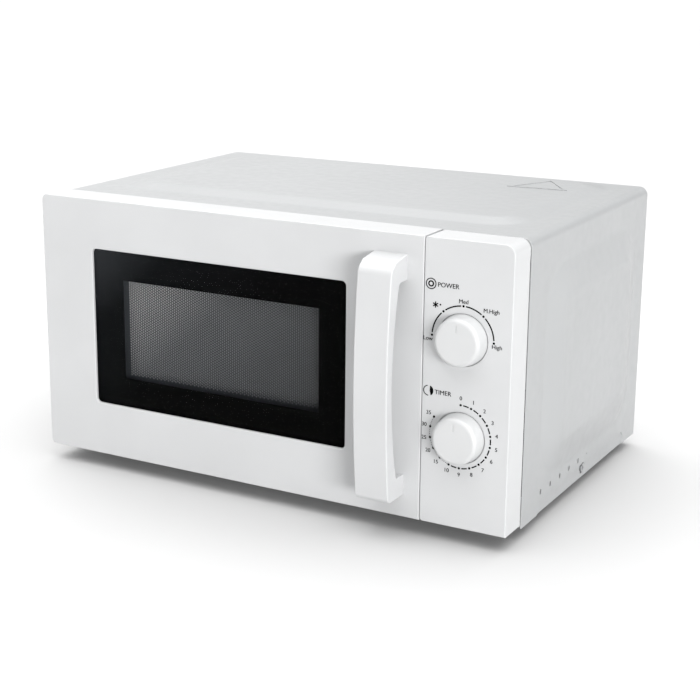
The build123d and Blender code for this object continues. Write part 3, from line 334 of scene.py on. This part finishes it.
shader = Shader("core_steel", Metallic=0.6)
sheets = shader.bands(620, "Y")
shader.colours(sheets, (0.2, (0.05, 0.045, 0.04)), (0.8, (0.20, 0.19, 0.18)))
shader.roughness(shader.noise(90), 0.35, 0.6)
MATERIALS["core_steel"] = shader.bump(sheets, 0.5, 0.0001).material

shader = Shader("copper_wire", Metallic=0.9)
turns = shader.bands(420, "Z", 0.3)
shader.colours(turns, (0.2, (0.25, 0.07, 0.02)), (0.8, (0.72, 0.28, 0.10)))
shader.roughness(shader.noise(120), 0.3, 0.45)
MATERIALS["copper_wire"] = shader.bump(turns, 0.8, 0.0003).material

slot_of = {part["node"]: part["material_slot"] for part in frame["record"]["subparts"]}
for name, node in nodes.items():
    node.data.materials.clear()
    node.data.materials.append(MATERIALS[slot_of[name]])


# ---------------------------------------------------------------- mesh helpers
def mesh_piece(name, points, faces, slot, body):
    """A flat-shaded piece that rides on a body."""
    mesh = bpy.data.meshes.new(name)
    mesh.from_pydata([tuple(p) for p in points], [], faces)
    mesh.update()
    piece = bpy.data.objects.new(name, mesh)
    bpy.context.scene.collection.objects.link(piece)
    piece.data.materials.append(MATERIALS[slot])
    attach(piece, body)
    return piece


class Solid:
    """Collects closed prisms that stand on a plane across Y, drawn by their outlines in X and Z."""

    def __init__(self):
        self.points, self.faces = [], []

    def prism(self, outline, front, back):
        start, count = len(self.points), len(outline)
        for y in (front, back):
            self.points += [(x, y, z) for x, z in outline]
        ring = range(count)
        self.faces.append([start + i for i in ring])
        self.faces.append([start + count + i for i in reversed(ring)])
        for i in ring:
            j = (i + 1) % count
            self.faces.append([start + j, start + i, start + count + i, start + count + j])

    def plate(self, left, right, bottom, top, front, back):
        self.prism([(left, bottom), (right, bottom), (right, top), (left, top)], front, back)


# ---------------------------------------------------------------- perforated door screen
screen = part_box("door_screen")
VIEW_INSET = 14 * MM  # plain margin round the perforated field
LEFT_SHIFT = 1 * MM  # the field's left edge lies this much further out
HOLE_STEP = 2.31 * MM  # hole to hole down a column
COLUMN_STEP = 1.94 * MM  # neighbouring columns, staggered by half a step
HOLE_RADIUS = 0.91 * MM
CORNERS = 8  # points round a hole, and round the brick of steel that holds it


def perforated_screen():
    """A steel sheet with staggered eight-sided holes: a brick of steel round each, and a margin."""
    (x0, y0, z0), (x1, y1, z1) = screen
    fx0, fx1 = x0 + VIEW_INSET - LEFT_SHIFT, x1 - VIEW_INSET
    fz0, fz1 = z0 + VIEW_INSET, z1 - VIEW_INSET
    columns, rows = round((fx1 - fx0) / COLUMN_STEP), round((fz1 - fz0) / HOLE_STEP)
    w, h = (fx1 - fx0) / columns / 2, (fz1 - fz0) / rows / 2
    outer = ((0, h), (w, h), (w, 0), (w, -h), (0, -h), (-w, -h), (-w, 0), (-w, h))
    turns = [2 * math.pi * k / CORNERS for k in range(CORNERS)]
    inner = [(HOLE_RADIUS * math.sin(t), HOLE_RADIUS * math.cos(t)) for t in turns]
    sheet = Solid()
    for column in range(columns):
        cx = fx0 + w * (2 * column + 1)
        for row in range(rows - column % 2):
            cz = fz0 + h * (2 * row + 1 + column % 2)
            start = len(sheet.points)
            for y in (y0, y1):
                sheet.points += [(cx + px, y, cz + pz) for px, pz in (*outer, *inner)]
            back = 2 * CORNERS  # from a point on the front to the one behind it
            for k in range(CORNERS):
                n = (k + 1) % CORNERS
                a, b, c, d = start + k, start + n, start + CORNERS + n, start + CORNERS + k
                sheet.faces += [
                    [a, b, c, d],
                    [d + back, c + back, b + back, a + back],
                    [d, c, c + back, d + back],
                ]
        if column % 2:  # half bricks close a column that starts and stops half a step in
            for bottom, top in ((fz0, fz0 + h), (fz1 - h, fz1)):
                sheet.plate(cx - w, cx + w, bottom, top, y0, y1)
    for sides in ((x0, fx0, z0, z1), (fx1, x1, z0, z1), (fx0, fx1, z0, fz0), (fx0, fx1, fz1, z1)):
        sheet.plate(*sides, y0, y1)
    piece = mesh_piece("perforated_screen", sheet.points, sheet.faces, "screen_steel", "door")
    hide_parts("door_screen")


perforated_screen()

FILM_MARGIN = 7 * MM  # from the screen's edge to the film's
FILM_FRONT, FILM_BACK = 0.05 * MM, 0.15 * MM  # behind the screen


def screen_film():
    """The milky sheet on the back of the screen."""
    (x0, _, z0), (x1, y, z1) = screen
    film = Solid()
    film.plate(
        x0 + FILM_MARGIN,
        x1 - FILM_MARGIN,
        z0 + FILM_MARGIN,
        z1 - FILM_MARGIN,
        y + FILM_FRONT,
        y + FILM_BACK,
    )
    mesh_piece("screen_film", film.points, film.faces, "film", "door")


screen_film()

# ---------------------------------------------------------------- printed border of the window
BORDER_GAP = 0.1 * MM  # behind the glazing, so that their faces don't coincide


def printed_border():
    """The ink frame on the back of the window, open over the perforated field."""
    (x0, y0, z0), (x1, y1, z1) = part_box("window_mask")
    vx0, vx1 = screen[0][0] + VIEW_INSET, screen[1][0] - VIEW_INSET
    vz0, vz1 = screen[0][2] + VIEW_INSET, screen[1][2] - VIEW_INSET
    points = [
        (x, y, z)
        for y in (y0 + BORDER_GAP, y1)
        for a, b, c, d in ((x0, z0, x1, z1), (vx0, vz0, vx1, vz1))
        for x, z in ((a, b), (c, b), (c, d), (a, d))
    ]
    faces = []
    for k in range(4):
        n = (k + 1) % 4
        faces += [
            [k, n, n + 4, k + 4],
            [k + 12, n + 12, n + 8, k + 8],
            [n, k, k + 8, n + 8],
            [k + 4, n + 4, n + 12, k + 12],
        ]
    piece = mesh_piece("printed_border", points, faces, "black_print", "door")
    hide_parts("window_mask")


printed_border()

# ---------------------------------------------------------------- dial printing
knob = {name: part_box(f"{name}_knob") for name in ("power", "timer")}
PRINT_RISE = 0.8 * MM  # the printed rings sit a little above the knobs' axes
centre = {
    name: ((lo[0] + hi[0]) / 2, (lo[2] + hi[2]) / 2 + PRINT_RISE) for name, (lo, hi) in knob.items()
}
PANEL_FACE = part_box("control_panel")[0][1]
INK = 0.12 * MM  # how far the print stands on the panel
DOT_CIRCLE = 25.3 * MM
LABEL_CIRCLE = 30.6 * MM
DOT, SMALL_DOT = 0.95 * MM, 0.28 * MM  # radii
POWER_MARKS = (-90, -40, 0, 40, 90)  # degrees from the top
POWER_STROKE, POWER_CLEAR = 1.05 * MM, 4.5  # a stroke's width, and the degrees it keeps off a mark
TIMER_STROKE, TIMER_CLEAR = 1.0 * MM, 4.8
TIMER_STEP = 20  # degrees from mark to mark
TIMER_LABELS = (*range(11), 15, 20, 25, 30, 35)
FIRST_DOTTED = 10  # from this mark on, small dots stand in place of strokes
SMALL_DOTS = 5  # between two marks
# each power label: its words, its place round the dial in degrees, and its shift right and up in mm
POWER_LABELS = (
    ("Med", 0, 0, -2.0),
    ("M.High", 47, 0.2, 3.0),
    ("Low", -99, 1.6, 1.7),
    ("High", 99, -2.4, 1.9),
)
# above each dial: where its icon is, how far above the dial, and its title to the right of it
POWER_ICON, POWER_ICON_RISE = 153.2 * MM, 39.6 * MM
TIMER_ICON, TIMER_ICON_RISE = 152.9 * MM, 32.9 * MM
POWER_TITLE, POWER_TITLE_RISE = 158.6 * MM, 39.3 * MM
TIMER_TITLE, TIMER_TITLE_RISE = 158.2 * MM, 32.4 * MM
POWER_LETTER, TIMER_LETTER, TITLE_LETTER = 3.3 * MM, 3.2 * MM, 3.7 * MM  # heights of capitals
FONT_SIZE = 1.38  # for a capital of height 1
BOLDER = 0.05 * MM  # each word is printed twice, this far to either side
STROKE_DEGREES = 6  # one prism of an arc


def around(name, degrees, radius):
    """A point on a dial's circle, clockwise from its top."""
    x, z = centre[name]
    turn = math.radians(degrees)
    return x + radius * math.sin(turn), z + radius * math.cos(turn)


def printed(ink, outline):
    ink.prism(outline, PANEL_FACE - INK, PANEL_FACE)


def disc(ink, at, radius, corners=20):
    turns = [2 * math.pi * k / corners for k in range(corners)]
    printed(ink, [(at[0] + radius * math.cos(a), at[1] + radius * math.sin(a)) for a in turns])


def arc(ink, middle, radius, width, start, stop):
    """A stroke along a circle, as short prisms end to end."""
    steps = max(2, int(abs(stop - start) / STROKE_DEGREES))
    near_edge, far_edge = radius - width / 2, radius + width / 2
    for k in range(steps):
        a = math.radians(start + (stop - start) * k / steps)
        b = math.radians(start + (stop - start) * (k + 1) / steps)
        corners = ((near_edge, a), (far_edge, a), (far_edge, b), (near_edge, b))
        printed(ink, [(middle[0] + r * math.sin(t), middle[1] + r * math.cos(t)) for r, t in corners])


def letters(ink, words, at, height, align="CENTER"):
    """Adds a word to the ink, printed twice side by side so that its strokes are bold."""
    curve = bpy.data.curves.new("word", "FONT")
    curve.body = words
    curve.size = height * FONT_SIZE
    curve.extrude = INK / 2
    curve.align_x = align
    curve.align_y = "CENTER"
    word = bpy.data.objects.new("word", curve)
    bpy.context.scene.collection.objects.link(word)
    mesh = bpy.data.meshes.new_from_object(word.evaluated_get(bpy.context.evaluated_depsgraph_get()))
    merged = bmesh.new()
    merged.from_mesh(mesh)
    bmesh.ops.remove_doubles(merged, verts=merged.verts, dist=0.000001)
    for nudge in (-BOLDER, BOLDER):
        start = len(ink.points)
        for v in merged.verts:
            ink.points.append((at[0] + v.co.x + nudge, PANEL_FACE - INK / 2 - v.co.z, at[1] + v.co.y))
        ink.faces += [[start + v.index for v in face.verts] for face in merged.faces]
    merged.free()
    bpy.data.objects.remove(word)


def dial_marks(ink):
    for turn in POWER_MARKS:
        disc(ink, around("power", turn, DOT_CIRCLE), DOT)
    for a, b in zip(POWER_MARKS, POWER_MARKS[1:]):
        arc(ink, centre["power"], DOT_CIRCLE, POWER_STROKE, a + POWER_CLEAR, b - POWER_CLEAR)
    for step in range(len(TIMER_LABELS)):
        turn = TIMER_STEP * step
        disc(ink, around("timer", turn, DOT_CIRCLE), DOT)
        if step < FIRST_DOTTED:
            start, stop = turn + TIMER_CLEAR, turn + TIMER_STEP - TIMER_CLEAR
            arc(ink, centre["timer"], DOT_CIRCLE, TIMER_STROKE, start, stop)
        elif step < len(TIMER_LABELS) - 1:
            for k in range(1, SMALL_DOTS + 1):
                at = around("timer", turn + TIMER_STEP * k / (SMALL_DOTS + 1), DOT_CIRCLE)
                disc(ink, at, SMALL_DOT, 10)


def power_icon(ink):
    """Two rings."""
    at = (POWER_ICON, centre["power"][1] + POWER_ICON_RISE)
    arc(ink, at, 4.0 * MM, 0.75 * MM, 0, 360)
    arc(ink, at, 1.9 * MM, 1.1 * MM, 0, 360)


def timer_icon(ink):
    """A clock face, half filled."""
    x, z = TIMER_ICON, centre["timer"][1] + TIMER_ICON_RISE
    arc(ink, (x, z), 3.9 * MM, 0.7 * MM, 180, 350)
    turns = [math.radians(20 + 10 * k) for k in range(14)]
    rim = [(x + 4.3 * MM * math.sin(t), z + 4.3 * MM * math.cos(t)) for t in turns]
    printed(ink, [(x + 1.2 * MM, z), *rim])


def defrost_star(ink):
    """Three crossed strokes and a dot, beside the dial's second mark."""
    x, z = around("power", -44, 33 * MM)
    half_width, half_length = 0.45 * MM, 2.4 * MM
    for turn in (0, 60, 120):
        t = math.radians(turn)
        across = (math.cos(t) * half_width, -math.sin(t) * half_width)
        along = (math.sin(t) * half_length, math.cos(t) * half_length)
        corners = ((-1, -1), (-1, 1), (1, 1), (1, -1))
        printed(
            ink,
            [(x + i * across[0] + j * along[0], z + i * across[1] + j * along[1]) for i, j in corners],
        )
    disc(ink, (x + 4.0 * MM, z + 0.4 * MM), 0.7 * MM)


def dial_lettering(text):
    for words, turn, right, up in POWER_LABELS:
        x, z = around("power", turn, LABEL_CIRCLE)
        letters(text, words, (x + right * MM, z + up * MM), POWER_LETTER)
    for step, number in enumerate(TIMER_LABELS):
        letters(text, str(number), around("timer", TIMER_STEP * step, LABEL_CIRCLE), TIMER_LETTER)
    for words, dial, x, rise in (
        ("POWER", "power", POWER_TITLE, POWER_TITLE_RISE),
        ("TIMER", "timer", TIMER_TITLE, TIMER_TITLE_RISE),
    ):
        letters(text, words, (x, centre[dial][1] + rise), TITLE_LETTER, "LEFT")


ink = Solid()
for draw in (dial_marks, power_icon, timer_icon, defrost_star):
    draw(ink)
mesh_piece("dial_print", ink.points, ink.faces, "black_print", "root")
text = Solid()
dial_lettering(text)
mesh_piece("dial_lettering", text.points, text.faces, "black_print", "root")

# ---------------------------------------------------------------- floor
bpy.ops.mesh.primitive_plane_add(size=60, location=(0, 0, -0.0002))
floor = bpy.context.active_object
floor.name = "floor"
shader = Shader("floor", Roughness=0.8)
shader.colours(shader.noise(2), (0.4, (0.545, 0.545, 0.545)), (0.6, (0.565, 0.565, 0.565)))
floor.data.materials.append(shader.material)

bpy.context.view_layer.update()
